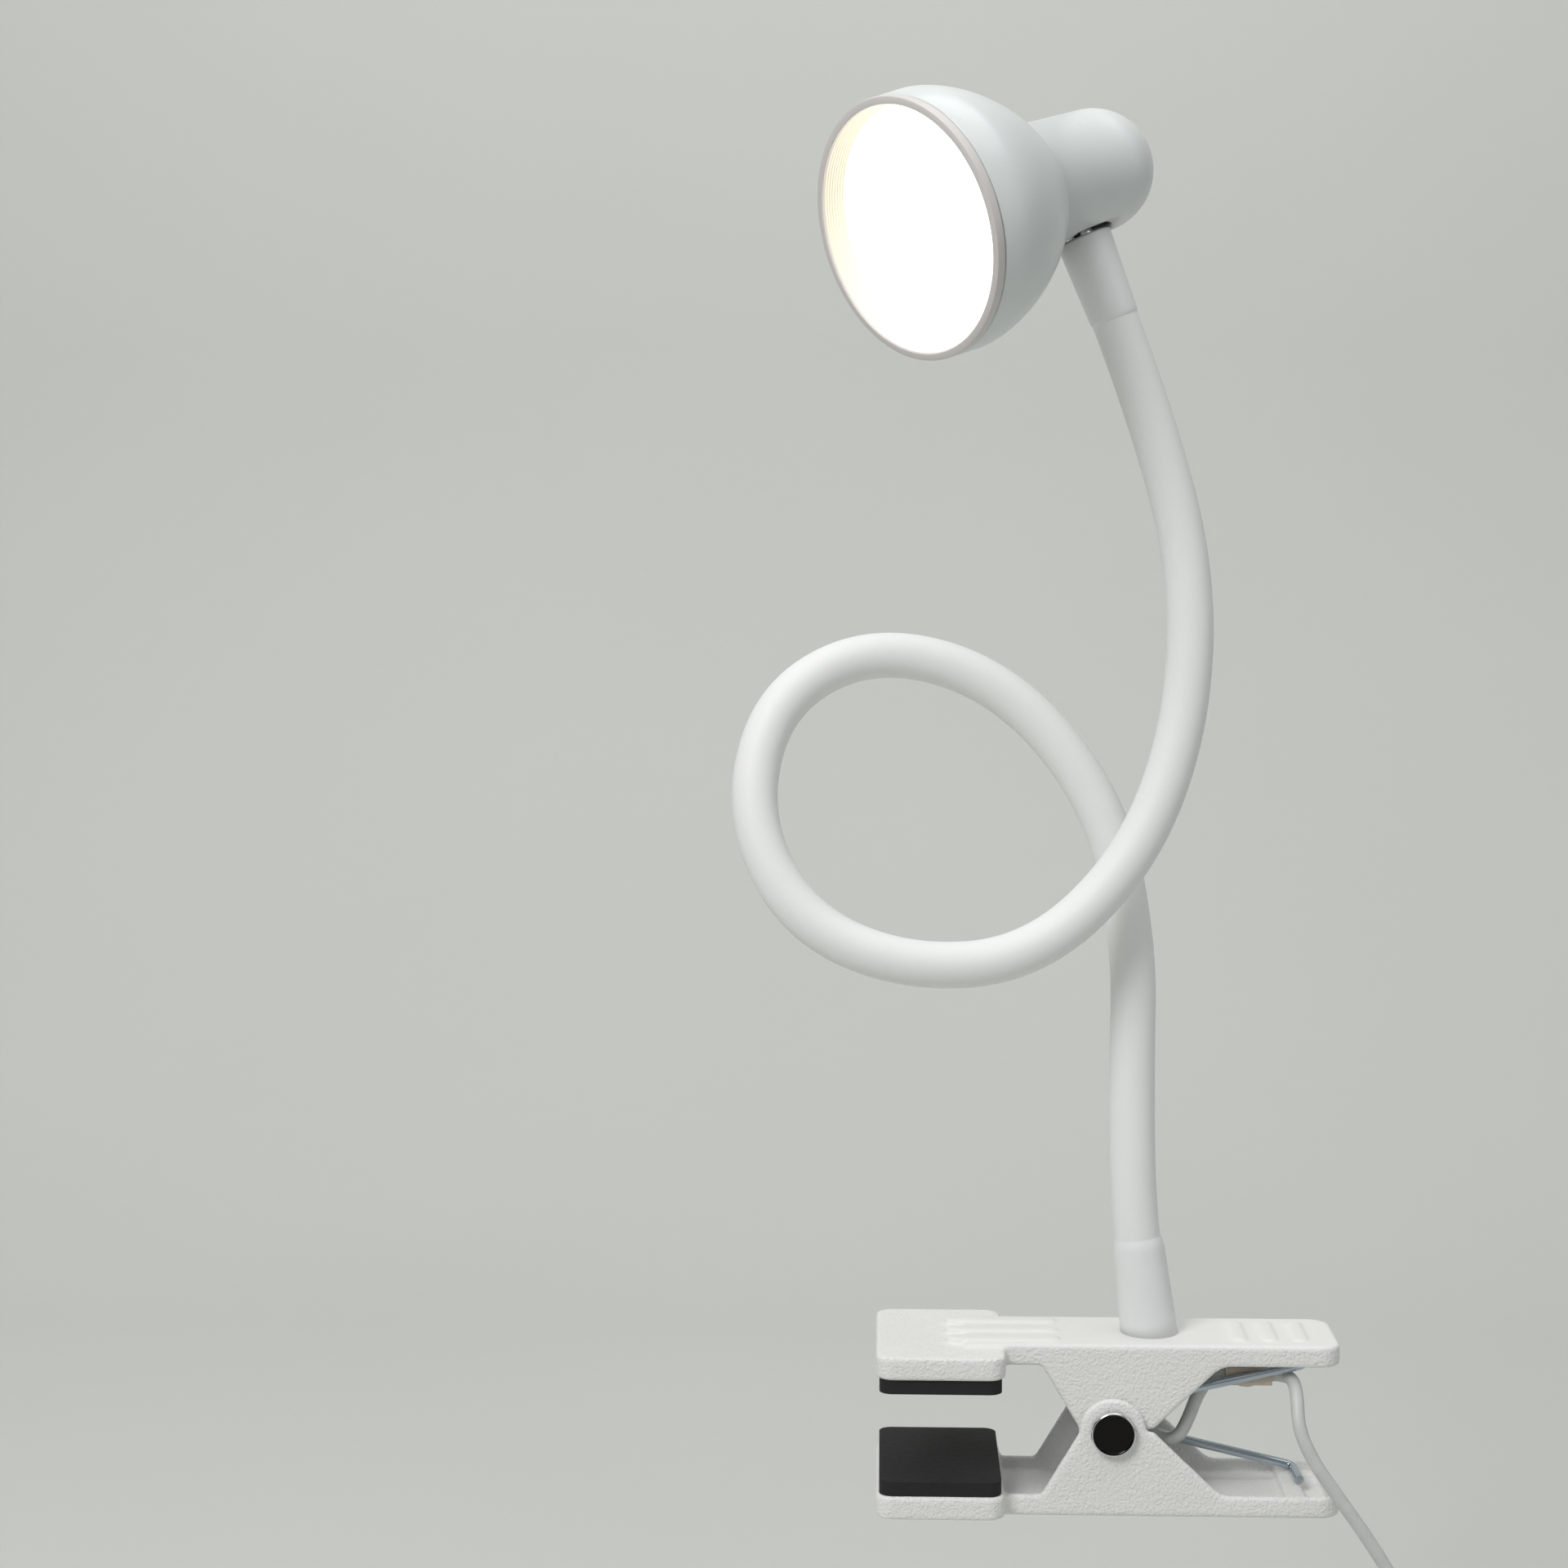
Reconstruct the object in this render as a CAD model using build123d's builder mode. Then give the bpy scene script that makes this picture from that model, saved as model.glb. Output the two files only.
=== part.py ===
from build123d import *
import os
from math import cos, pi, radians, sin, tan

# Clip-on reading lamp: a spring clamp, a gooseneck in a silicone sleeve, a bell head on a ball
# joint, and a USB lead that hangs from the clamp.
# Millimetres. The origin is the middle of the upper jaw's gripping face. +X runs along the clamp
# to its handles, +Y runs across it, away from the lamp's lit side, and +Z is up.

os.makedirs("parts", exist_ok=True)

# ---- driving dimensions: clamp ----
pad_length = 31.0          # gripping pads, along X
pad_width = 44.0           # gripping pads, along Y
pad_corner = 4.0
pad_top = 9.0              # top of the upper pad above its gripping face
rubber_thick = 3.4         # rubber that shows below the pad
rubber_inset = 0.9
rubber_plug = 3.2          # part of the rubber held inside the pad
arm_width = 25.6           # upper arm, along Y
arm_top = 10.0             # upper arm's top face
arm_front = 6.0            # where the arms run into the pads
rear_x = 96.0              # ends of the two handles
rear_corner = 5.0
wall = 2.0                 # plate and side walls of the jaws
side_height = 5.2          # height of the arm's side walls
side_gap = 0.3             # between the upper jaw's walls and the lower jaw's
pivot_x = 41.3
half_height = 20.7         # from the pivot to the arm's outer face
cheek_round = 8.0          # rounded tip of a cheek, round the pin
pin_radius = 2.5
pin_fit = 0.05
cap_radius = 5.4
cap_thick = 1.8

# ---- driving dimensions: torsion spring ----
spring_wire = 1.1          # radius of the wire
coil_radius = 4.3          # to the wire's centre
coil_half = 9.3            # half the coil's length, along Y
coil_turns = 7.5
leg_angle = 13.5           # slope of each leg
leg_reach = 46.5           # leg's length along X, from the pivot
leg_hook = 11.0            # hook at the end of each leg

# ---- driving dimensions: gooseneck ----
sleeve_radius = 5.5
hose_radius = 4.3
hose_bore = 2.2
sleeve_bore = 4.5
wire_radius = 0.75
wire_offset = 0.85
knuckle_radius = 5.2       # rounded end that one length of sleeve turns on
cup_radius = 5.9           # hollow in the next length
stud_radius = 4.0
stud_bore = 2.3
stud_low = 1.2
stud_top = 12.2
collar_foot_radius = 7.0   # base collar at the clamp
collar_neck_radius = 6.1   # base collar at the sleeve
collar_length = 18.2       # from the neck's first point to the collar's top

# Centre line of the gooseneck, from the clamp's stud, round the loop and up to the head's collar.
neck = [
    (50.6, 0.0, 13.2), (46.8, 0.5, 43.0), (46.4, 3.0, 74.0), (46.9, 5.0, 104.0),
    (39.7, 7.0, 139.0), (15.5, 10.0, 167.8), (-16.0, 9.0, 176.8), (-40.5, 0.0, 164.3),
    (-46.8, -9.0, 137.0), (-34.3, -15.0, 112.3), (-9.0, -18.0, 101.5), (21.0, -16.0, 103.5),
    (45.0, -11.0, 125.5), (57.2, -7.0, 156.0), (59.1, -5.0, 192.0), (49.7, -4.6, 228.5),
    (39.9, -4.6, 253.7),
]
# The runs at whose middle the neck bends in this model.
bend_runs = [1, 4, 6, 8, 10, 14]

# ---- driving dimensions: head ----
ball_centre = Vector(27.2, -4.6, 285.8)
head_back = Vector(0.736, 0.607, 0.298)   # from the lit face to the back of the head
face_to_ball = 50.0
ball_radius = 7.0
ball_fit = 0.06
stem_radius = 3.4
journal_radius = 3.0
journal_fit = 0.05
stem_bore = 1.7
head_collar_top = 11.3     # distances from the ball's centre
head_collar_seat = 24.5
head_collar_radius = 6.5
head_collar_end = 5.8
head_wall = 1.8
rim_radius = 30.0
bell_radius = 30.2
bell_start = 9.7           # distances from the lit face, along the head
bell_length = 34.9
bell_power = 1.6           # roundness of the bell: 2 is an ellipse
bell_sweep = 54.5          # how far round the bell runs before the neck
neck_end = 60.0
head_neck_radius = 14.5
bezel_depth = 2.5
bezel_bore = 28.3
diffuser_at = 6.0
diffuser_thick = 1.6
board_at = 12.4
board_thick = 1.0
carrier_thick = 2.6
carrier_radius = 26.0
screw_circle = 21.5
screw_radius = 1.1
screw_head = 2.0
socket_front_at = 41.5
socket_rear_end = 58.5
socket_slack = 0.2
slot_gap = 0.8             # play between the head's opening and the collar
slot_travel = 5.2          # how far the collar moves along that opening

# ---- driving dimensions: USB lead ----
cable_radius = 1.6
clip_near = -8.1           # cable clip, along Y
clip_far = -3.9
clip_front = 68.8
clip_rear = 80.0
clip_low = -1.2
clip_high = 3.6
clip_post_y = -1.6
switch_width = 13.0
switch_depth = 9.0
switch_length = 26.0
switch_wall = 1.2
button_radius = 3.4
button_gap = 0.25
button_proud = 0.8
coil_inner = 13.0          # stored coil
coil_outer = 23.0
coil_width = 13.6
coil_round = 3.0
tie_thick = 0.9
tie_width = 9.0
plug_length = 20.0
plug_width = 15.5
plug_depth = 8.0
shell_width = 12.0
shell_depth = 4.5
shell_length = 12.0

# Cable inside the clamp, from the stud to the clip.
inner_route = [
    (50.6, 0.0, 1.2), (50.6, -0.6, -3.6), (50.4, -2.4, -8.2), (50.5, -4.2, -12.0),
    (52.9, -5.2, -15.2), (57.6, -6.0, -15.0), (60.2, -6.0, -9.8), (62.0, -6.0, -4.6),
    (64.2, -6.0, -0.7), (67.2, -6.0, 1.2), (71.0, -6.0, 1.2),
]
# Cable from the clip to the switch.
lead_route = [
    (80.0, -6.0, 1.2), (83.8, -6.0, 1.2), (86.3, -9.2, 1.2), (86.6, -14.6, -1.6),
    (86.4, -18.2, -8.4), (89.4, -19.2, -16.6), (95.2, -19.8, -25.0), (100.8, -20.2, -34.2),
    (106.6, -20.8, -43.4), (112.3, -21.0, -53.4), (112.3, -21.0, -64.0),
]
# Cable from the switch to the coil, then from the coil to the plug.
drop_route = [
    (112.3, -21.0, -90.0), (112.3, -21.0, -96.0), (116.3, -21.0, -102.9), (121.5, -21.0, -105.9),
]
coil_centre = (110.9, -21.0, -124.3)
tail_route = [(131.9, -21.0, -126.0), (132.4, -21.0, -133.0), (132.4, -21.0, -140.0)]

# ---- worked out from the above ----
pivot_z = arm_top - half_height
lower_width = arm_width + 2 * (side_gap + wall)


def finish(piece, name):
    piece.part.label = name
    export_step(piece.part, f"parts/{name}.step")


def corner_radii(points):
    """Arc at each corner of a route: as large as its two runs allow."""
    radii = []
    for before, here, after in zip(points, points[1:], points[2:]):
        first = Vector(here) - Vector(before)
        second = Vector(after) - Vector(here)
        half_turn = radians(first.get_angle(second)) / 2
        radii.append(0.45 * min(first.length, second.length) / tan(half_turn))
    return radii


def middle(points, run):
    return (Vector(points[run]) + Vector(points[run + 1])) / 2


def tube(points, radii, outer, inner=0.0, offsets=((0.0, 0.0),)):
    """Tube or group of round cores along straight runs and tangent arcs."""
    with BuildPart() as body:
        with BuildLine() as path:
            if len(points) == 2:
                Line(points[0], points[1])
            else:
                FilletPolyline(*points, radius=radii)
        with BuildSketch(Plane(origin=path.line @ 0, z_dir=path.line % 0)):
            with Locations(*offsets):
                Circle(outer)
                if inner > 0:
                    Circle(inner, mode=Mode.SUBTRACT)
        sweep(path=path.line)
    return body, path.wire().length


def report_tube(name, body, length, points):
    radii = ", ".join(f"{radius:.1f}" for radius in corner_radii(points))
    section = pi * cable_radius**2 * length
    print(f"{name}: {length:.1f} long, radii {radii}, volume {body.part.volume:.0f} of {section:.0f}")


# ================= clamp =================
def jaw_outline(height, up):
    """Side view of a jaw's cheek and the pivot's tip, from the arm to the pin."""
    foot = height - side_height
    with BuildSketch(Plane.XZ) as outline:
        with BuildLine():
            Polyline(
                (pivot_x - 17.4, pivot_z + up * (foot + wall)), (pivot_x - 17.0, pivot_z + up * foot),
                (pivot_x - 7.8, pivot_z), (pivot_x + 9.8, pivot_z),
                (pivot_x + 26.0, pivot_z + up * foot), (pivot_x + 26.0, pivot_z + up * (foot + wall)),
                close=True,
            )
        make_face()
        with Locations((pivot_x, pivot_z)):
            Circle(cheek_round)
    return outline.sketch


def jaw(width, up):
    """One jaw: pad, channel-shaped arm with its side walls, cheeks and grip ridges."""
    outer_face = pivot_z + up * half_height
    inner_side = width / 2 - wall
    arm_middle = (arm_front + rear_x) / 2
    shoulder = pivot_z + up * (half_height - (arm_top - pad_top))
    pad_face = pivot_z + up * (-pivot_z + rubber_thick)
    with BuildPart() as body:
        with BuildSketch(Plane.XY.offset(outer_face)):
            with Locations((arm_middle, 0)):
                RectangleRounded(rear_x - arm_front, width, rear_corner)
            with Locations((arm_front + rear_corner, 0)):
                Rectangle(2 * rear_corner, width)
        extrude(amount=-up * side_height)
        with BuildSketch(Plane.XY.offset(outer_face - up * wall)):
            with Locations((arm_middle, 0)):
                RectangleRounded(rear_x - arm_front - 2 * wall, width - 2 * wall, rear_corner - wall)
        extrude(amount=-up * side_height, mode=Mode.SUBTRACT)
        with BuildSketch(Plane.XY.offset(shoulder)):
            RectangleRounded(pad_length, pad_width, pad_corner)
        extrude(amount=pad_face - shoulder)
        for side in (-1, 1):
            near_face = Plane.XZ.offset(-side * (width / 2 - wall / 2))
            add(extrude(jaw_outline(half_height, up).moved(Location(near_face.origin)),
                        amount=wall / 2, both=True, mode=Mode.PRIVATE))
        corner = [
            edge for edge in body.edges().filter_by(Axis.Y)
            if abs(edge.center().X - (pivot_x + 26.0)) < 0.2
            and abs(edge.center().Z - (pivot_z + up * (half_height - side_height))) < 0.2
        ]
        fillet(corner, radius=6.0)
        # hollow of the pad that the rubber's plug fills
        with BuildSketch(Plane.XY.offset(pad_face)):
            RectangleRounded(pad_length - 2 * wall, pad_width - 2 * wall, pad_corner - wall)
        extrude(amount=up * rubber_plug, mode=Mode.SUBTRACT)
        # three lengthwise ribs where the pad runs into the arm
        with BuildSketch(Plane.XY.offset(outer_face - up * wall / 2)):
            with Locations((15.0, 0)):
                with GridLocations(0, 8.0, 1, 3):
                    SlotOverall(27.0, 4.2)
        extrude(amount=up * (wall / 2 + 0.6))
        # three cross ridges for the fingers
        with BuildSketch(Plane.XY.offset(outer_face - up * wall / 2)):
            with Locations((79.5, 0)):
                with GridLocations(7.3, 0, 3, 1):
                    SlotOverall(17.0, 3.2, rotation=90)
        extrude(amount=up * (wall / 2 + 0.6))
        # seat of the spring's leg
        seat_high = pivot_z + up * leg_height(leg_reach) + up * spring_wire
        with BuildSketch(Plane.XY.offset(outer_face - up * wall)):
            with Locations((pivot_x + leg_reach - 2.0, 0)):
                Rectangle(5.0, 2 * inner_side)
        extrude(amount=seat_high - (outer_face - up * wall))
        # hole for the pin
        with BuildSketch(Plane.XZ.offset(width)):
            with Locations((pivot_x, pivot_z)):
                Circle(pin_radius + pin_fit)
        extrude(amount=-2 * width, mode=Mode.SUBTRACT)
    return body


def leg_height(along):
    """Height of a spring leg's centre above the pivot, at a distance along X."""
    return (coil_radius + along * sin(radians(leg_angle))) / cos(radians(leg_angle))


def grip_pad(up):
    """Rubber pad: a plate on the table and a plug held in the jaw's pad."""
    face = pivot_z - up * pivot_z
    seat = face + up * rubber_thick
    with BuildPart() as body:
        with BuildSketch(Plane.XY.offset(face)):
            RectangleRounded(pad_length - 2 * rubber_inset, pad_width - 2 * rubber_inset,
                             pad_corner - rubber_inset)
        extrude(amount=up * rubber_thick)
        with BuildSketch(Plane.XY.offset(seat)):
            RectangleRounded(pad_length - 2 * wall - 0.1, pad_width - 2 * wall - 0.1, pad_corner - wall)
        extrude(amount=up * (rubber_plug - 0.05))
    return body


with BuildPart() as upper_jaw:
    add(jaw(arm_width, 1).part)
    with BuildSketch(Plane.XY):
        with Locations((neck[0][0], neck[0][1])):
            Circle(stud_radius + 0.05)
    extrude(amount=2 * arm_top, mode=Mode.SUBTRACT)
    with BuildSketch(Plane.XY):
        with Locations(((clip_front + clip_rear) / 2, clip_post_y)):
            Circle(screw_radius + 0.02)
    extrude(amount=arm_top - 0.6, mode=Mode.SUBTRACT)
finish(upper_jaw, "upper_jaw")
finish(jaw(lower_width, -1), "lower_jaw")
finish(grip_pad(1), "upper_grip_pad")
finish(grip_pad(-1), "lower_grip_pad")

pin_head_at = lower_width / 2 + 0.3
with BuildPart() as pivot_pin:
    with BuildSketch(Plane.XZ.offset(pin_head_at)):
        with Locations((pivot_x, pivot_z)):
            Circle(cap_radius)
    extrude(amount=cap_thick)
    fillet(pivot_pin.faces().sort_by(Axis.Y)[0].edges(), radius=0.6)
    with BuildSketch(Plane.XZ.offset(pin_head_at)):
        with Locations((pivot_x, pivot_z)):
            Circle(pin_radius)
    extrude(amount=-2 * pin_head_at - cap_thick / 2)
finish(pivot_pin, "pivot_pin")

with BuildPart() as pin_cap:
    with BuildSketch(Plane.XZ.offset(-pin_head_at)):
        with Locations((pivot_x, pivot_z)):
            Circle(cap_radius)
            Circle(pin_radius + 0.02, mode=Mode.SUBTRACT)
    extrude(amount=-cap_thick / 2)
    with BuildSketch(Plane.XZ.offset(-pin_head_at - cap_thick / 2)):
        with Locations((pivot_x, pivot_z)):
            Circle(cap_radius)
    extrude(amount=-cap_thick / 2)
    fillet(pin_cap.faces().sort_by(Axis.Y)[-1].edges(), radius=0.6)
finish(pin_cap, "pin_cap")


def spring_leg(side, up):
    """Straight leg from the coil to a handle, with a hook bent across it."""
    slope = radians(leg_angle)
    start = (pivot_x - coil_radius * sin(slope), side * coil_half, pivot_z + up * coil_radius * cos(slope))
    knee = (pivot_x + leg_reach, side * coil_half, pivot_z + up * leg_height(leg_reach))
    hook = (knee[0], knee[1] - side * leg_hook, knee[2])
    return [start, knee, hook]


with BuildPart() as torsion_spring:
    with BuildLine() as winding:
        Helix(2 * coil_half / coil_turns, 2 * coil_half, coil_radius,
              center=(pivot_x, -coil_half, pivot_z), direction=(0, 1, 0))
    with BuildSketch(Plane(origin=winding.line @ 0, z_dir=winding.line % 0)):
        Circle(spring_wire)
    sweep(path=winding.line, is_frenet=True)
for leg_side, leg_up in ((-1, 1), (1, -1)):
    leg, _ = tube(spring_leg(leg_side, leg_up), [3.0], spring_wire)
    torsion_spring.part = torsion_spring.part + leg.part
finish(torsion_spring, "torsion_spring")


# ================= gooseneck =================
neck_radii = corner_radii(neck)
neck_start = Vector(neck[0])
neck_rise = (Vector(neck[1]) - neck_start).normalized()
neck_end_point = Vector(neck[-1])
to_ball = (ball_centre - neck_end_point).normalized()
collar_top = neck_start + neck_rise * collar_length
bend_points = [middle(neck, run) for run in bend_runs]


def neck_length(number):
    """Points and arc radii of one length of the neck, from bend to bend."""
    first = 0 if number == 0 else bend_runs[number - 1] + 1
    last = len(neck) - 1 if number == len(bend_runs) else bend_runs[number]
    points = [Vector(point) for point in neck[first:last + 1]]
    radii = neck_radii[max(first - 1, 0):last]
    if number > 0:
        points = [bend_points[number - 1]] + points
    if number < len(bend_runs):
        points = points + [bend_points[number]]
    return points, radii


def ball_at(point, radius):
    return Pos(point.X, point.Y, point.Z) * Sphere(radius, mode=Mode.PRIVATE)


for number in range(len(bend_runs) + 1):
    length_points, length_radii = neck_length(number)
    begins, ends = length_points[0], length_points[-1]
    first_length, last_length = number == 0, number == len(bend_runs)

    sleeve, run_length = tube(length_points, length_radii, sleeve_radius, sleeve_bore)
    if first_length:
        sleeve.part = split(sleeve.part, Plane(origin=collar_top, z_dir=neck_rise), keep=Keep.TOP)
    else:
        sleeve.part = sleeve.part - ball_at(begins, cup_radius)
    if last_length:
        sleeve.part = split(sleeve.part, Plane(origin=neck_end_point, z_dir=to_ball), keep=Keep.BOTTOM)
        length_points[-1] = ball_centre - to_ball * head_collar_seat
    else:
        sleeve.part = sleeve.part + ball_at(ends, knuckle_radius)
    finish(sleeve, f"sleeve_{number + 1}")

    hose, _ = tube(length_points, length_radii, hose_radius, hose_bore)
    cores, _ = tube(length_points, length_radii, wire_radius,
                    offsets=((0, wire_offset), (0, -wire_offset)))
    if not first_length:
        hose.part = hose.part - ball_at(begins, cup_radius + 1.1)
        cores.part = cores.part - ball_at(begins, cup_radius + 1.5)
    if not last_length:
        hose.part = hose.part - ball_at(ends, knuckle_radius + 0.4)
        cores.part = cores.part - ball_at(ends, knuckle_radius + 0.8)
    finish(hose, f"hose_{number + 1}")
    finish(cores, f"feed_wires_{number + 1}")
    print(f"neck length {number + 1}: {run_length:.1f} long, sleeve {sleeve.part.volume:.0f}")

# Collar that covers the neck's foot on the clamp. It leans with the neck.
collar_plane = Plane(origin=neck_start, x_dir=neck_rise, z_dir=neck_rise.cross(Vector(0, 1, 0)))
with BuildPart() as base_collar:
    with BuildSketch(collar_plane):
        with BuildLine():
            Polyline((-5.0, 0), (-5.0, collar_foot_radius), (collar_length - 2.0, collar_neck_radius),
                     (collar_length, collar_neck_radius - 0.6), (collar_length, 0), close=True)
        make_face()
    revolve(axis=Axis(neck_start, neck_rise))
    split(bisect_by=Plane.XY.offset(arm_top), keep=Keep.TOP)
    with BuildSketch(Plane.XY.offset(arm_top)):
        with Locations((neck_start.X, neck_start.Y)):
            Circle(stud_radius + 0.05)
    extrude(amount=stud_top - arm_top + 0.1, mode=Mode.SUBTRACT)
    with BuildSketch(Plane(origin=neck_start, z_dir=neck_rise)):
        Circle(hose_radius + 0.1)
    extrude(amount=collar_length + 1.0, mode=Mode.SUBTRACT)
finish(base_collar, "base_collar")


def ring(low, high, outer, inner, centre):
    """Upright ring between two heights."""
    with BuildPart() as body:
        with BuildSketch(Plane.XY.offset(low)):
            with Locations(centre):
                Circle(outer)
                Circle(inner, mode=Mode.SUBTRACT)
        extrude(amount=high - low)
    return body


stud_place = (neck_start.X, neck_start.Y)
plate_under = arm_top - wall
washer_thick = 0.8
nut_thick = 4.0
finish(ring(stud_low, stud_top, stud_radius, stud_bore, stud_place), "base_stud")
finish(ring(plate_under - washer_thick, plate_under, 7.2, stud_radius + 0.1, stud_place), "base_washer")
with BuildPart() as base_nut:
    with BuildSketch(Plane.XY.offset(plate_under - washer_thick)):
        with Locations(stud_place):
            RegularPolygon(6.2, 6)
            Circle(stud_radius + 0.02, mode=Mode.SUBTRACT)
    extrude(amount=-nut_thick)
finish(base_nut, "base_nut")

# ================= head =================
down = -to_ball
across = head_back.cross(down).normalized()
back = down.cross(across).normalized()
face_centre = ball_centre - back * face_to_ball
head_line = Axis(face_centre, back)
profile_plane = Plane(origin=face_centre, x_dir=back, z_dir=back.cross(across))


def head_plane(along):
    """Plane across the head: its x points towards the collar."""
    return Plane(origin=face_centre + back * along, x_dir=down, z_dir=back)


def bell_points(inset):
    """Points along the bell's side view, from its widest place to the neck."""
    points = []
    for step in range(6):
        turn = radians(bell_sweep * step / 5)
        along = bell_start + (bell_length - inset) * sin(turn) ** (2 / bell_power)
        points.append((along, (bell_radius - inset) * cos(turn) ** (2 / bell_power)))
    return points


def head_form(inset, front):
    """Solid of the bell, neck and domed end, shrunk by an inset."""
    bell = bell_points(inset)
    neck_radius = head_neck_radius - inset
    dome_middle = (neck_end + neck_radius * sin(pi / 4), neck_radius * cos(pi / 4))
    with BuildPart() as body:
        with BuildSketch(profile_plane):
            with BuildLine():
                Polyline((front, 0), (front, rim_radius - inset), bell[0])
                Spline(*bell)
                Line(bell[-1], (neck_end, neck_radius))
                ThreePointArc((neck_end, neck_radius), dome_middle, (neck_end + neck_radius, 0))
                Line((neck_end + neck_radius, 0), (front, 0))
            make_face()
        revolve(axis=head_line)
    return body.part


def head_ring(profile):
    """Round piece of the head from its half section (distance along the head, radius)."""
    with BuildPart() as body:
        with BuildSketch(profile_plane):
            with BuildLine():
                Polyline(*profile, close=True)
            make_face()
        revolve(axis=head_line)
    return body


def head_studs(start, end, radius, places):
    """Round bars along the head at the given places."""
    with BuildPart() as body:
        with BuildSketch(head_plane(start)):
            with Locations(*places):
                Circle(radius)
        extrude(amount=end - start)
    return body


def circle_places(radius, count, start=0.0):
    return [
        (radius * cos(radians(start + 360 * k / count)), radius * sin(radians(start + 360 * k / count)))
        for k in range(count)
    ]


screw_places = circle_places(screw_circle, 3, start=60.0)
board_back = board_at + board_thick
carrier_back = board_back + carrier_thick
boss_end = carrier_back + 10.0
collar_at_wall = head_collar_radius + slot_gap

with BuildPart() as head_shell:
    add(head_form(0.0, bezel_depth))
    add(head_form(head_wall, bezel_depth - 1.0), mode=Mode.SUBTRACT)
    with BuildSketch(head_plane(carrier_back)):
        with Locations(*screw_places):
            Circle(2.6)
            Circle(screw_radius + 0.02, mode=Mode.SUBTRACT)
    extrude(amount=boss_end - carrier_back)
    slot_middle = ball_centre + down * 8.0 - back * (slot_travel / 2)
    with BuildSketch(Plane(origin=slot_middle, x_dir=back, z_dir=down)):
        SlotCenterToCenter(slot_travel, 2 * collar_at_wall)
    extrude(amount=10.0, mode=Mode.SUBTRACT)
finish(head_shell, "head_shell")

spigot_radius = rim_radius - head_wall - 0.05
finish(head_ring([(0, bezel_bore), (0, rim_radius - 0.5), (0.5, rim_radius), (bezel_depth, rim_radius),
                  (bezel_depth, spigot_radius), (diffuser_at, spigot_radius),
                  (diffuser_at, spigot_radius - 1.0), (0.8, bezel_bore - 0.2)]), "bezel_ring")
diffuser_back = diffuser_at + diffuser_thick
finish(head_ring([(diffuser_at, 0), (diffuser_at, spigot_radius - 0.1),
                  (diffuser_back, spigot_radius - 0.1), (diffuser_back, 0)]), "diffuser")
finish(head_ring([(diffuser_back, spigot_radius - 1.4), (diffuser_back, spigot_radius - 0.2),
                  (board_at, spigot_radius - 0.6), (board_at, carrier_radius - 1.4)]), "reflector")

with BuildPart() as led_board:
    with BuildSketch(head_plane(board_at)):
        Circle(carrier_radius)
        Circle(2.2, mode=Mode.SUBTRACT)
        with Locations(*screw_places):
            Circle(screw_radius + 0.1, mode=Mode.SUBTRACT)
    extrude(amount=board_thick)
finish(led_board, "led_board")

with BuildPart() as led_chips:
    with BuildSketch(head_plane(board_at)):
        with Locations(*(circle_places(7.5, 5) + circle_places(15.5, 10))):
            Rectangle(2.8, 2.8)
    extrude(amount=-0.7)
finish(led_chips, "led_chips")

hub_length = 5.0
with BuildPart() as led_carrier:
    with BuildSketch(head_plane(board_back)):
        Circle(carrier_radius)
    extrude(amount=carrier_thick)
    with BuildSketch(head_plane(carrier_back)):
        Circle(9.0)
    extrude(amount=hub_length)
    with BuildSketch(head_plane(board_back)):
        Circle(2.2)
        with Locations(*screw_places):
            Circle(screw_radius + 0.1)
    extrude(amount=carrier_thick + hub_length, mode=Mode.SUBTRACT)
finish(led_carrier, "led_carrier")

# Ball socket: two halves clamped round the ball inside the head's neck.
socket_screw_places = [(-8.4, 5.4), (-8.4, -5.4)]
socket_radius = head_neck_radius - head_wall - socket_slack


def socket_half(start, end):
    with BuildPart() as body:
        with BuildSketch(head_plane(start)):
            Circle(socket_radius)
            with Locations(*socket_screw_places):
                Circle(screw_radius + 0.02, mode=Mode.SUBTRACT)
        extrude(amount=end - start)
        add(ball_at(ball_centre, ball_radius + ball_fit), mode=Mode.SUBTRACT)
        with BuildSketch(Plane(origin=ball_centre + down * 4.2, x_dir=back, z_dir=down)):
            Rectangle(30.0, 2 * collar_at_wall + 1.8)
        extrude(amount=12.0, mode=Mode.SUBTRACT)
        with BuildSketch(head_plane(socket_front_at - 1.0)):
            Circle(3.2)
        extrude(amount=face_to_ball - socket_front_at, mode=Mode.SUBTRACT)
    return body


finish(socket_half(socket_front_at, face_to_ball), "socket_front")
finish(socket_half(face_to_ball, socket_rear_end), "socket_rear")

head_screws = head_studs(board_at, board_at + 10.0, screw_radius, screw_places)
head_screws.part = (
    head_screws.part
    + head_studs(board_at - 1.4, board_at, screw_head, screw_places).part
    + head_studs(socket_front_at, socket_rear_end - 2.0, screw_radius, socket_screw_places).part
    + head_studs(socket_front_at - 1.4, socket_front_at, screw_head, socket_screw_places).part
)
finish(head_screws, "head_screws")
finish(head_studs(board_back, socket_front_at + 1.2, wire_radius, [(0, wire_offset), (0, -wire_offset)]),
       "head_wires")

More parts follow.
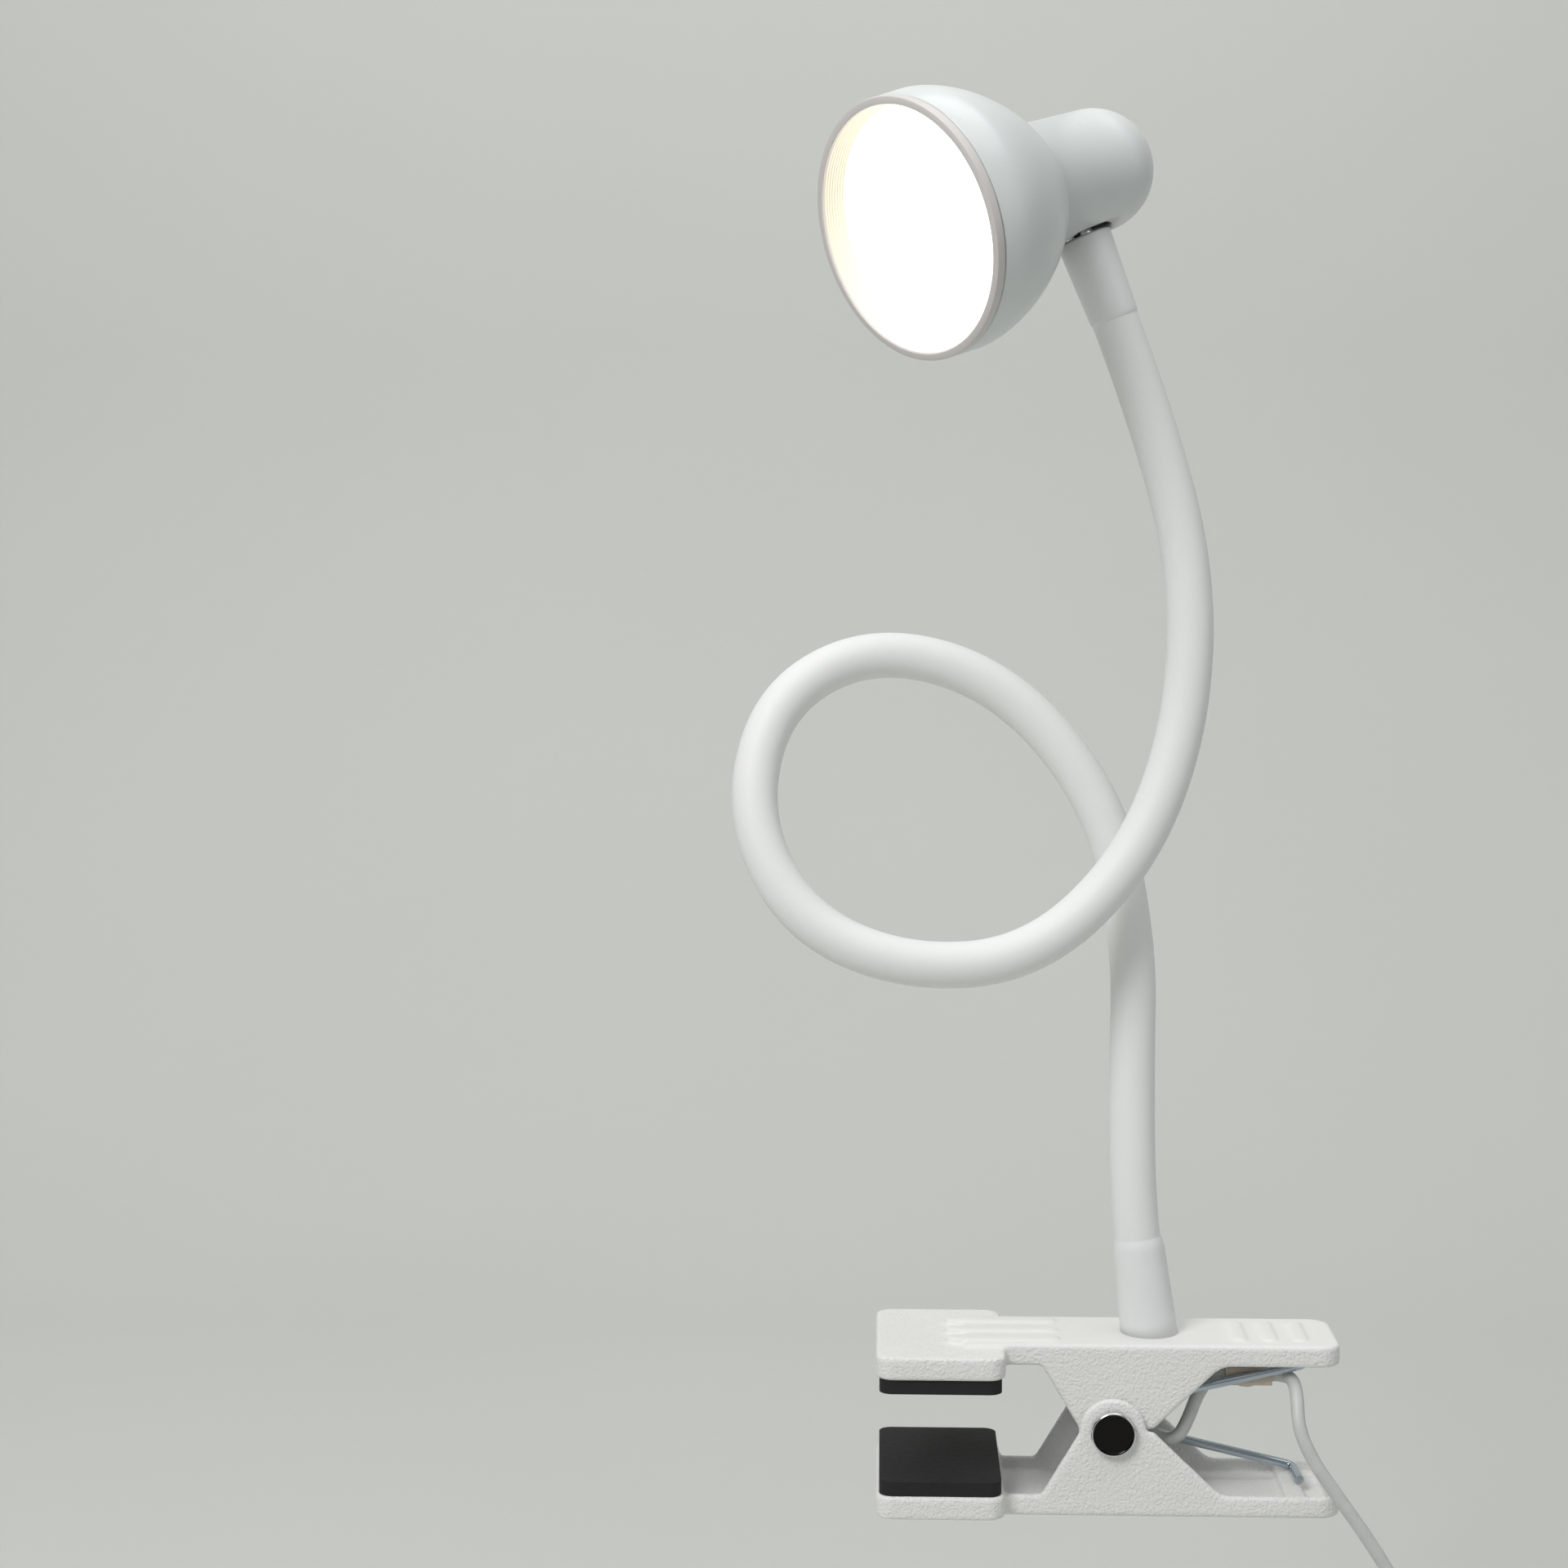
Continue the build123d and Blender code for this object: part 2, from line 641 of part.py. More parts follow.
with BuildPart() as ball_stem:
    with BuildSketch(Plane(origin=ball_centre + down * 3.0, z_dir=down)):
        Circle(stem_radius)
    extrude(amount=head_collar_top + 0.6 - 3.0)
    with BuildSketch(Plane(origin=ball_centre + down * 3.0, z_dir=down)):
        Circle(journal_radius)
    extrude(amount=head_collar_seat - 0.3 - 3.0)
    add(ball_at(ball_centre, ball_radius))
    with BuildSketch(Plane(origin=ball_centre, z_dir=down)):
        Circle(stem_bore)
    extrude(amount=head_collar_seat, mode=Mode.SUBTRACT)
    with BuildSketch(Plane(origin=ball_centre, z_dir=-back)):
        Circle(stem_bore)
    extrude(amount=ball_radius + 1.0, mode=Mode.SUBTRACT)
finish(ball_stem, "ball_stem")

collar_end = (neck_end_point - ball_centre).length
collar_profile_plane = Plane(origin=ball_centre, x_dir=down, z_dir=down.cross(across))
with BuildPart() as head_collar:
    with BuildSketch(collar_profile_plane):
        with BuildLine():
            Polyline((head_collar_top, 0), (head_collar_top, head_collar_radius - 0.8),
                     (head_collar_top + 0.8, head_collar_radius), (collar_end - 1.0, head_collar_end),
                     (collar_end, head_collar_end - 0.4), (collar_end, 0), close=True)
        make_face()
    revolve(axis=Axis(ball_centre, down))
    with BuildSketch(Plane(origin=ball_centre, z_dir=down)):
        Circle(journal_radius + journal_fit)
    extrude(amount=collar_end + 1.0, mode=Mode.SUBTRACT)
    with BuildSketch(Plane(origin=ball_centre, z_dir=down)):
        Circle(stem_radius + journal_fit)
    extrude(amount=head_collar_top + 0.9, mode=Mode.SUBTRACT)
    with BuildSketch(Plane(origin=ball_centre + down * head_collar_seat, z_dir=down)):
        Circle(hose_radius + 0.2)
    extrude(amount=collar_end, mode=Mode.SUBTRACT)
finish(head_collar, "head_collar")

# ================= USB lead =================
clip_middle = (clip_front + clip_rear) / 2
clip_length = clip_rear - clip_front
with BuildPart() as cable_clip:
    with BuildSketch(Plane.YZ.offset(clip_front)):
        with Locations(((clip_near + clip_far) / 2, (clip_low + clip_high) / 2)):
            RectangleRounded(clip_far - clip_near, clip_high - clip_low, 1.2)
    extrude(amount=clip_length)
    with BuildSketch(Plane.XY.offset(clip_low)):
        with Locations((clip_middle, clip_post_y)):
            Circle(2.6)
    extrude(amount=plate_under - clip_low)
    with BuildSketch(Plane.YZ.offset(clip_front)):
        with Locations((inner_route[-1][1], inner_route[-1][2])):
            Circle(cable_radius)
    extrude(amount=clip_length, mode=Mode.SUBTRACT)
    with BuildSketch(Plane.XY.offset(clip_low)):
        with Locations((clip_middle, clip_post_y)):
            Circle(screw_radius + 0.02)
    extrude(amount=plate_under - clip_low, mode=Mode.SUBTRACT)
finish(cable_clip, "cable_clip")
with BuildPart() as clip_screw:
    with BuildSketch(Plane.XY.offset(clip_low)):
        with Locations((clip_middle, clip_post_y)):
            Circle(screw_radius)
    extrude(amount=arm_top - 0.8 - clip_low)
    with BuildSketch(Plane.XY.offset(clip_low)):
        with Locations((clip_middle, clip_post_y)):
            Circle(screw_head)
    extrude(amount=-1.4)
finish(clip_screw, "clip_screw")


# Stored coil: one closed ring of the wound cable's outer shape, standing in the XZ plane.
with BuildPart() as cable_coil:
    with BuildSketch(Plane.XY.offset(coil_centre[2])):
        with Locations((coil_centre[0] + (coil_inner + coil_outer) / 2, coil_centre[1])):
            RectangleRounded(coil_outer - coil_inner, coil_width, coil_round)
    revolve(axis=Axis(coil_centre, (0, 1, 0)))
finish(cable_coil, "cable_coil")


def cable(name, points, straight_end=None):
    """One stretch of the round cable; its ends stop at the coil."""
    body, length = tube(points, corner_radii(points), cable_radius)
    if straight_end is not None:
        rest, rest_length = tube([points[-1], straight_end], [], cable_radius)
        body.part = body.part + rest.part
        length += rest_length
    report_tube(name, body, length, points)
    body.part = body.part - cable_coil.part
    finish(body, name)


cable("cable_inner", inner_route, straight_end=(clip_rear, *inner_route[-1][1:]))
cable("cable_lead", lead_route)
cable("cable_drop", drop_route)
cable("cable_tail", tail_route)

switch_x, switch_y, switch_top = lead_route[-1]


def switch_box(front, rear):
    """Block of the switch's outline between two depths."""
    with BuildPart() as body:
        with BuildSketch(Plane.XZ.offset(-rear)):
            with Locations((switch_x, switch_top - switch_length / 2)):
                RectangleRounded(switch_width, switch_length, 4.0)
        extrude(amount=rear - front)
    return body.part


switch_front = switch_y - switch_depth / 2
switch_rear = switch_y + switch_depth / 2
button_place = (switch_x, switch_top - switch_length / 2)


def switch_shell(front, rear, open_side):
    """Half of the switch's case: walls and one broad face."""
    floor_front = front + (0 if open_side < 0 else switch_wall)
    floor_rear = rear - (0 if open_side > 0 else switch_wall)
    with BuildPart() as body:
        add(switch_box(front, rear))
        with BuildSketch(Plane.XZ.offset(-floor_rear)):
            with Locations(button_place):
                RectangleRounded(switch_width - 2 * switch_wall, switch_length - 2 * switch_wall, 2.8)
        extrude(amount=floor_rear - floor_front, mode=Mode.SUBTRACT)
    return body


switch_base = switch_shell(switch_y, switch_rear, -1)
finish(switch_base, "switch_base")
with BuildPart() as switch_cover:
    add(switch_shell(switch_front, switch_y, 1).part)
    with BuildSketch(Plane.XZ.offset(-switch_front - 2.0)):
        with Locations(button_place):
            Circle(button_radius + button_gap)
    extrude(amount=4.0, mode=Mode.SUBTRACT)
finish(switch_cover, "switch_cover")
button_travel_room = 0.3
board_front = switch_y + 1.0
with BuildPart() as switch_button:
    with BuildSketch(Plane.XZ.offset(-switch_front + button_proud)):
        with Locations(button_place):
            Circle(button_radius)
    extrude(amount=-button_proud - switch_wall - 1.0)
    with BuildSketch(Plane.XZ.offset(-switch_front - switch_wall - button_travel_room)):
        with Locations(button_place):
            Circle(button_radius + 0.9)
    extrude(amount=-0.8)
finish(switch_button, "switch_button")
with BuildPart() as switch_board:
    with BuildSketch(Plane.XZ.offset(-board_front)):
        with Locations(button_place):
            RectangleRounded(switch_width - 2 * switch_wall - 0.4,
                             switch_length - 2 * switch_wall - 0.4, 2.6)
    extrude(amount=-1.0)
    with BuildSketch(Plane.XZ.offset(-board_front)):
        with Locations(button_place):
            Rectangle(5.0, 5.0)
    extrude(amount=1.4)
finish(switch_board, "switch_board")

with BuildPart() as coil_tie:
    with BuildSketch(Plane.XY.offset(coil_centre[2] - tie_width / 2)):
        with Locations((coil_centre[0] - (coil_inner + coil_outer) / 2 + 0.1, coil_centre[1])):
            RectangleRounded(coil_outer - coil_inner + 2 * tie_thick + 1.6,
                             coil_width + 2 * tie_thick + 0.6, 3.5)
            RectangleRounded(coil_outer - coil_inner + 1.6, coil_width + 0.6, 2.8, mode=Mode.SUBTRACT)
    extrude(amount=tie_width)
finish(coil_tie, "coil_tie")

plug_x, plug_y, plug_top = tail_route[-1]
with BuildPart() as usb_overmold:
    with BuildSketch(Plane.XY.offset(plug_top)):
        with Locations((plug_x, plug_y)):
            RectangleRounded(5.0, 5.0, 2.0)
    with BuildSketch(Plane.XY.offset(plug_top - 5.0)):
        with Locations((plug_x, plug_y)):
            RectangleRounded(plug_depth, plug_width, 2.0)
    loft()
    with BuildSketch(Plane.XY.offset(plug_top - 5.0)):
        with Locations((plug_x, plug_y)):
            RectangleRounded(plug_depth, plug_width, 2.0)
    extrude(amount=-(plug_length - 5.0))
finish(usb_overmold, "usb_overmold")
shell_top = plug_top - plug_length
with BuildPart() as usb_shell:
    with BuildSketch(Plane.XY.offset(shell_top)):
        with Locations((plug_x, plug_y)):
            Rectangle(shell_depth, shell_width)
            Rectangle(shell_depth - 0.6, shell_width - 0.6, mode=Mode.SUBTRACT)
    extrude(amount=-shell_length)
finish(usb_shell, "usb_shell")
with BuildPart() as usb_tongue:
    with BuildSketch(Plane.XY.offset(shell_top)):
        with Locations((plug_x - 0.9, plug_y)):
            Rectangle(1.8, shell_width - 1.4)
    extrude(amount=-(shell_length - 1.5))
finish(usb_tongue, "usb_tongue")
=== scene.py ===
from math import cos, pi, radians, sin, tau

import bmesh
import bpy
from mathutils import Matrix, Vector


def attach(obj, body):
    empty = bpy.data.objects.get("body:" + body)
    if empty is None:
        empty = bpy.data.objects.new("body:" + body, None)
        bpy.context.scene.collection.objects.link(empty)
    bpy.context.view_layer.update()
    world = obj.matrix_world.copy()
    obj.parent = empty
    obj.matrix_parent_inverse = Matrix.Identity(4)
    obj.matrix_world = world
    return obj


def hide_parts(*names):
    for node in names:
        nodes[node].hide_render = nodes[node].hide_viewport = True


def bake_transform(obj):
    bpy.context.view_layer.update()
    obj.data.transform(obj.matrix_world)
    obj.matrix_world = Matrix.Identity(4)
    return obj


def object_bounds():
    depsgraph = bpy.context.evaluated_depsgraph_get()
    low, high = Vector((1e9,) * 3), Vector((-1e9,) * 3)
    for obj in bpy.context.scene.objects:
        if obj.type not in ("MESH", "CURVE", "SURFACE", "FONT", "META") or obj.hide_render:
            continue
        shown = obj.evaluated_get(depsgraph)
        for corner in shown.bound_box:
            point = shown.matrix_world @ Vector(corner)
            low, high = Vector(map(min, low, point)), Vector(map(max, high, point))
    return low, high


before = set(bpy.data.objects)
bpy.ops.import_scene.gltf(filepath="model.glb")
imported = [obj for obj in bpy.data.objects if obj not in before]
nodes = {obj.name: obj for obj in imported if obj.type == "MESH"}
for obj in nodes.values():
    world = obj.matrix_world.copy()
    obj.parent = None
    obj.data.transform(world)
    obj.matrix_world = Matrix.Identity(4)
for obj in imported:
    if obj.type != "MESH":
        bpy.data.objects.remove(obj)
cad_box = [list(corner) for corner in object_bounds()]


# ================= camera =================
# A fairly long lens, two thirds of a metre in front of the lamp and above its clamp. It is turned
# two degrees to the left and looks five degrees down, so that the whole lamp is in view.
camera_turn, camera_dip = radians(2.0), radians(5.0)
camera_place, camera_lens, film_width = (-0.0143, -0.6782, 0.2029), 64.97, 36.0
sight = Vector((-sin(camera_turn) * cos(camera_dip), cos(camera_turn) * cos(camera_dip),
                -sin(camera_dip)))
camera = bpy.data.objects.new("camera", bpy.data.cameras.new("camera"))
camera.data.lens, camera.data.sensor_width = camera_lens, film_width
camera.location = camera_place
camera.rotation_euler = sight.to_track_quat("-Z", "Y").to_euler()
camera.data.clip_start, camera.data.clip_end = 0.01, 20.0
bpy.context.collection.objects.link(camera)
bpy.context.scene.camera = camera


# ================= floor and light =================
# A plain pale sweep of board that curves up behind the lamp. Three round studio panels and an even
# sky light the lamp softly, and a fourth panel lights the board behind it.
class Value:
    """One number or colour inside a material, with sums written as ordinary arithmetic."""

    def __init__(self, tree, socket):
        self.tree, self.socket = tree, socket

    def _sum(self, operation, first, second=None):
        node = self.tree.nodes.new("ShaderNodeMath")
        node.operation = operation
        for slot, part in enumerate((first, second)):
            if isinstance(part, Value):
                self.tree.links.new(part.socket, node.inputs[slot])
            elif part is not None:
                node.inputs[slot].default_value = part
        return Value(self.tree, node.outputs[0])

    def __add__(self, other):
        return self._sum("ADD", self, other)

    def __radd__(self, other):
        return self._sum("ADD", other, self)

    def __sub__(self, other):
        return self._sum("SUBTRACT", self, other)

    def __rsub__(self, other):
        return self._sum("SUBTRACT", other, self)

    def __mul__(self, other):
        return self._sum("MULTIPLY", self, other)

    def __rmul__(self, other):
        return self._sum("MULTIPLY", other, self)

    def clipped(self):
        """The value kept between 0 and 1."""
        node = self.tree.nodes.new("ShaderNodeClamp")
        self.tree.links.new(self.socket, node.inputs[0])
        return Value(self.tree, node.outputs[0])


class Finish:
    """A material being made: its shader, its nodes and its place coordinates."""

    def __init__(self, name, **constants):
        self.material = bpy.data.materials.new(name)
        self.material.use_nodes = True
        self.tree = self.material.node_tree
        self.shader = self.tree.nodes["Principled BSDF"]
        for socket, value in constants.items():
            self.shader.inputs[socket.replace("_", " ")].default_value = value

    def node(self, kind, settings=None, outlet=0, **inputs):
        """One node of that kind: its settings first, then its sockets' values or links."""
        node = self.tree.nodes.new("ShaderNode" + kind)
        for name, value in (settings or {}).items():
            setattr(node, name, value)
        for name, value in inputs.items():
            numbered = name[1:].isdigit()
            socket = node.inputs[int(name[1:]) if numbered else name.replace("_", " ")]
            if isinstance(value, Value):
                self.tree.links.new(value.socket, socket)
            else:
                socket.default_value = value
        return Value(self.tree, node.outputs[outlet])

    def place(self):
        """Where a point of the piece is, in metres from the origin."""
        return self.node("TexCoord", outlet=3)

    def noise(self, scale, detail=2.0, roughness=0.5):
        """Soft even noise of about that many features in a metre."""
        return self.node("TexNoise", Vector=self.place(), Scale=scale, Detail=detail,
                         Roughness=roughness)

    def blend(self, amount, low, high):
        """Colour between two colours."""
        return self.node("Mix", {"data_type": "RGBA"}, outlet=2, _0=amount, _6=low, _7=high)

    def set(self, socket, value):
        self.tree.links.new(value.socket, self.shader.inputs[socket])

    def bump(self, height, distance, strength=1.0):
        self.set("Normal", self.node("Bump", Height=height, Distance=distance, Strength=strength))

    def put_on(self, *pieces):
        for piece in pieces:
            piece.data.materials.clear()
            piece.data.materials.append(self.material)


def rgb(red, green, blue):
    return (red, green, blue, 1.0)


def link(name, data):
    piece = bpy.data.objects.new(name, data)
    bpy.context.collection.objects.link(piece)
    return piece


def fresh_verts(made):
    """The points that an extrusion has just made."""
    return [item for item in made["geom"] if isinstance(item, bmesh.types.BMVert)]


below_lamp, sweep_half_width, sweep_steps = 0.004, 3.0, 16
sweep_floor, sweep_front, sweep_back, sweep_top = cad_box[0][2] - below_lamp, -2.5, 1.15, 3.0
sweep_round = 0.5
side_view = [(sweep_front, sweep_floor), (sweep_back - sweep_round, sweep_floor)]
for step in range(1, sweep_steps + 1):
    turn = step / sweep_steps * pi / 2
    side_view.append((sweep_back - sweep_round + sweep_round * sin(turn),
                      sweep_floor + sweep_round * (1 - cos(turn))))
side_view.append((sweep_back, sweep_top))
sweep = bmesh.new()
rail = [sweep.verts.new((-sweep_half_width, y, z)) for y, z in side_view]
edges = [sweep.edges.new(pair) for pair in zip(rail, rail[1:])]
wide = bmesh.ops.extrude_edge_only(sweep, edges=edges)
bmesh.ops.translate(sweep, verts=fresh_verts(wide), vec=(2 * sweep_half_width, 0, 0))
for face in sweep.faces:
    face.smooth = True
sweep_data = bpy.data.meshes.new("backdrop")
sweep.to_mesh(sweep_data)
backdrop = link("backdrop", sweep_data)
board = Finish("pale_board", Roughness=0.9)
board.set("Base Color", board.blend(board.noise(3.0), rgb(0.595, 0.60, 0.575), rgb(0.62, 0.628, 0.605)))
board.put_on(backdrop)


def panel(name, place, target, size, watts, colour):
    light = bpy.data.lights.new(name, "AREA")
    light.shape, light.size, light.energy, light.color = "DISK", size, watts, colour
    lamp = link(name, light)
    lamp.location = place
    lamp.rotation_euler = (Vector(target) - Vector(place)).to_track_quat("-Z", "Y").to_euler()


panel("key", (-0.9, -1.3, 1.5), (0.0, 0.0, 0.12), 0.9, 23.0, (1.0, 1.0, 1.0))
panel("fill", (1.5, -0.9, 0.5), (0.0, 0.0, 0.1), 1.2, 1.6, (0.95, 0.98, 1.0))
panel("top", (0.2, 0.3, 1.8), (0.0, 0.0, 0.1), 1.2, 3.0, (1.0, 1.0, 1.0))
panel("wall", (0.0, 0.1, 1.3), (0.0, 1.15, 0.4), 1.6, 8.0, (1.0, 1.0, 0.99))
world = bpy.data.worlds.new("studio")
world.use_nodes = True
sky = world.node_tree.nodes["Background"]
sky.inputs["Color"].default_value, sky.inputs["Strength"].default_value = rgb(0.86, 0.89, 0.88), 0.32
bpy.context.scene.world = world
bpy.context.scene.view_settings.view_transform = "Standard"


# ================= USB lead =================
# Round two-core cable in a slightly clear grey-white PVC jacket. It leaves the clamp's clip, hangs
# down behind the handles, and goes through an inline switch into its tied-up spare length and plug.
def to_metres(point):
    return Vector(point) / 1000


def cable_line(name, points, radius):
    """A round cable along a smooth line through control points in millimetres."""
    curve = bpy.data.curves.new(name, "CURVE")
    curve.dimensions = "3D"
    curve.resolution_u = 12
    curve.bevel_depth, curve.bevel_resolution = radius / 1000, 7
    curve.use_fill_caps = True
    spline = curve.splines.new("NURBS")
    spline.points.add(len(points) - 1)
    for control, point in zip(spline.points, points):
        control.co = (*to_metres(point), 1.0)
    spline.order_u = 3
    spline.use_endpoint_u = True
    return link(name, curve)


cable_radius = 1.6
jacket = Finish("cable_jacket", Roughness=0.42, Subsurface_Weight=0.12,
                Subsurface_Radius=(0.002, 0.0018, 0.0016), Coat_Roughness=0.35)
jacket_cloud = jacket.noise(260.0, 3.0)
jacket.set("Base Color", jacket.blend(jacket_cloud, rgb(0.50, 0.51, 0.50), rgb(0.62, 0.63, 0.615)))
jacket.set("Roughness", 0.36 + jacket_cloud * 0.14)
jacket.bump(jacket.noise(900.0, 2.0), 0.00004)

lead_route = [
    (80.0, -6.0, 1.2), (83.0, -6.0, 1.2), (85.0, -9.0, 0.8), (85.2, -13.8, -2.2),
    (85.0, -17.4, -8.2), (88.2, -18.9, -15.6), (94.0, -19.7, -23.8), (100.2, -20.2, -32.4),
    (106.2, -20.8, -41.6), (111.6, -21.0, -51.8), (112.3, -21.0, -64.0),
]
lead = cable_line("lead_cable", lead_route, cable_radius)
jacket.put_on(lead)
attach(lead, "clamp")
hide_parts("cable_lead")

# The rest of the cable in one: down from the switch, twelve tied turns, and out to the plug. Each
# turn lies in its own cell of the coil's section, and crosses to the next cell at one place.
drop_route = [(112.3, -21.0, -90.0), (112.3, -21.0, -96.0), (116.3, -21.0, -102.9), (121.5, -21.0, -105.9)]
tail_route = [(132.1, -21.0, -126.0), (132.4, -21.0, -133.0), (132.4, -21.0, -140.0)]
coil_middle = Vector((110.9, -21.0, -124.3))
coil_cells = [
    (21.2, -1.65), (21.2, -4.9), (17.95, -4.9), (14.7, -4.9), (14.7, -1.65), (17.95, -1.65),
    (17.95, 1.65), (14.7, 1.65), (14.7, 4.9), (17.95, 4.9), (21.2, 4.9), (21.2, 1.65),
]
points_a_turn, wound_from, crosses_at, cross_half = 16, 60.0, 240.0, 36.0
turns_outside_line = 1.015
coil_points = []
for step in range(1, len(coil_cells) * points_a_turn + 2):
    wound = step / points_a_turn * 360.0
    passed = 0.0
    for cross in range(len(coil_cells) - 1):
        part = (wound - (crosses_at + 360.0 * cross - cross_half)) / (2 * cross_half)
        part = min(max(part, 0.0), 1.0)
        passed += part * part * (3 - 2 * part)
    cell = min(int(passed), len(coil_cells) - 2)
    ring, row = Vector(coil_cells[cell]).lerp(Vector(coil_cells[cell + 1]), passed - cell)
    turn = radians(wound_from - wound)
    coil_points.append((coil_middle.x + turns_outside_line * ring * cos(turn), coil_middle.y + row,
                        coil_middle.z + turns_outside_line * ring * sin(turn)))
store = cable_line("stored_cable", drop_route + coil_points + tail_route, cable_radius)
jacket.put_on(store)
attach(store, "clamp")
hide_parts("cable_drop", "cable_coil", "cable_tail")

# Inside the clamp the same cable loops down from the neck's stud and back up to the clip.
inner_route = [
    (50.6, 0.0, 1.2), (50.6, -0.6, -3.6), (50.4, -2.4, -8.2), (50.5, -4.2, -12.0),
    (52.9, -5.2, -15.2), (57.6, -6.0, -15.0), (60.2, -6.0, -9.8), (62.0, -6.0, -4.6),
    (64.2, -6.0, -0.7), (67.2, -6.0, 1.2), (71.0, -6.0, 1.2), (80.0, -6.0, 1.2),
]
inner = cable_line("inner_cable", inner_route, cable_radius)
jacket.put_on(inner)
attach(inner, "clamp")
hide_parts("cable_inner")


# ================= clamp jaws =================
# Two channel-shaped ABS mouldings with a fine leather grain on their sides. Their cheeks overlap
# round the pin, the lower jaw's outside the upper's, and their edges are soft all over.
def bare_copy(node):
    """A joined-up copy of a CAD node's mesh, ready to be worked on."""
    shape = bmesh.new()
    shape.from_mesh(nodes[node].data)
    bmesh.ops.remove_doubles(shape, verts=shape.verts, dist=1e-6)
    return shape


def into_piece(name, shape, smooth_to=40.0):
    """Makes the piece from its worked shape, smooth but for edges sharper than an angle."""
    for face in shape.faces:
        face.smooth = True
    for edge in shape.edges:
        edge.smooth = len(edge.link_faces) < 2 or edge.calc_face_angle(0.0) < radians(smooth_to)
    data = bpy.data.meshes.new(name)
    shape.to_mesh(data)
    shape.free()
    return link(name, data)


def settled(piece):
    """The piece as a plain mesh, with its modifiers or its curve's thickness applied."""
    data = bpy.data.meshes.new_from_object(piece.evaluated_get(bpy.context.evaluated_depsgraph_get()))
    name = piece.name
    bpy.data.objects.remove(piece)
    data.name = name
    return link(name, data)


def moulded(name, node, skin_size, rounds):
    """A CAD solid with all its edges rounded, as it comes out of the mould."""
    piece = into_piece(name, bare_copy(node))
    remesh = piece.modifiers.new("skin", "REMESH")
    remesh.mode, remesh.voxel_size, remesh.use_smooth_shade = "VOXEL", skin_size, True
    soften = piece.modifiers.new("soften", "SMOOTH")
    soften.factor, soften.iterations = 0.5, rounds
    return settled(piece)


abs_plastic = Finish("clamp_plastic", Roughness=0.5, Specular_IOR_Level=0.45)
leather = abs_plastic.node("TexVoronoi", {"feature": "SMOOTH_F1"}, Vector=abs_plastic.place(),
                           Scale=1500.0, Smoothness=1.0)
pebble = abs_plastic.noise(1750.0, 1.0, 0.4)
height = abs_plastic.node("SeparateXYZ", outlet=2, Vector=abs_plastic.place())
smooth_above, fade = 0.0088, 1200.0
flat_top = ((height - smooth_above) * fade).clipped()
grain = (pebble * 0.6 - leather * 0.5) * (1.0 - flat_top * 0.85)
abs_plastic.set("Base Color", abs_plastic.blend(abs_plastic.noise(60.0, 4.0), rgb(0.775, 0.77, 0.75),
                                                rgb(0.83, 0.825, 0.805)))
abs_plastic.set("Roughness", 0.44 + pebble * 0.16)
abs_plastic.bump(grain, 0.00042, 0.85)

pivot = to_metres((41.3, 0.0, -10.7))
skin_size, skin_rounds = 0.00042, 17
for jaw_name in ("upper_jaw", "lower_jaw"):
    jaw_body = "clamp" if jaw_name == "upper_jaw" else "lower_jaw"
    jaw = moulded(jaw_name + "_moulding", jaw_name, skin_size, skin_rounds)
    abs_plastic.put_on(jaw)
    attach(jaw, jaw_body)
    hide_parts(jaw_name)


# ================= grip pads =================
# Black rubber pads. Each is a flat plate that holds the table, moulded in one with a plug that is
# pushed into the hollow end of its jaw.
rubber = Finish("grip_rubber", Roughness=0.7, Specular_IOR_Level=0.35)
rubber_cloud = rubber.noise(700.0, 4.0)
rubber.set("Base Color", rubber.blend(rubber_cloud, rgb(0.008, 0.008, 0.009), rgb(0.02, 0.0195, 0.0195)))
rubber.set("Roughness", 0.62 + rubber_cloud * 0.2)
rubber.bump(rubber_cloud, 0.0001)
rubber.put_on(nodes["upper_grip_pad"], nodes["lower_grip_pad"])


# ================= pin and cap =================
# Turned and chromed steel pin, which both jaws turn on, with a flat mirror head and a thin raised
# rim. A cap like its head closes the far end. Inside the rim both faces are painted near black,
# a painted dark reflection on the chrome.
def turned(name, profile, origin, axis, steps=96, sharp=28.0):
    """A round piece spun about an axis from its half section, in millimetres."""
    axis = Vector(axis).normalized()
    side = axis.orthogonal().normalized()
    shape = bmesh.new()
    line = [shape.verts.new(Vector(origin) + (axis * along + side * out) / 1000)
            for along, out in profile]
    edges = [shape.edges.new(pair) for pair in zip(line, line[1:])]
    if profile[0][1] > 0 or profile[-1][1] > 0:
        edges.append(shape.edges.new((line[-1], line[0])))
    bmesh.ops.spin(shape, geom=line + edges, cent=origin, axis=axis, angle=tau, steps=steps, use_merge=True)
    bmesh.ops.remove_doubles(shape, verts=shape.verts, dist=1e-7)
    bmesh.ops.recalc_face_normals(shape, faces=shape.faces)
    return into_piece(name, shape, sharp)


def rounded(start, end, middle, steps=6):
    """Points of a quarter round from one point to another, about a middle."""
    points = []
    for step in range(steps + 1):
        turn = step / steps * pi / 2
        points.append((middle[0] + (start[0] - middle[0]) * cos(turn) + (end[0] - middle[0]) * sin(turn),
                       middle[1] + (start[1] - middle[1]) * cos(turn) + (end[1] - middle[1]) * sin(turn)))
    return points


def polished(name):
    """A bright chromed finish with the faintest cloudiness."""
    made = Finish(name, Metallic=1.0)
    cloud = made.noise(420.0, 5.0)
    made.set("Roughness", 0.05 + cloud * 0.06)
    return made, made.blend(cloud, rgb(0.70, 0.70, 0.71), rgb(0.78, 0.78, 0.79))


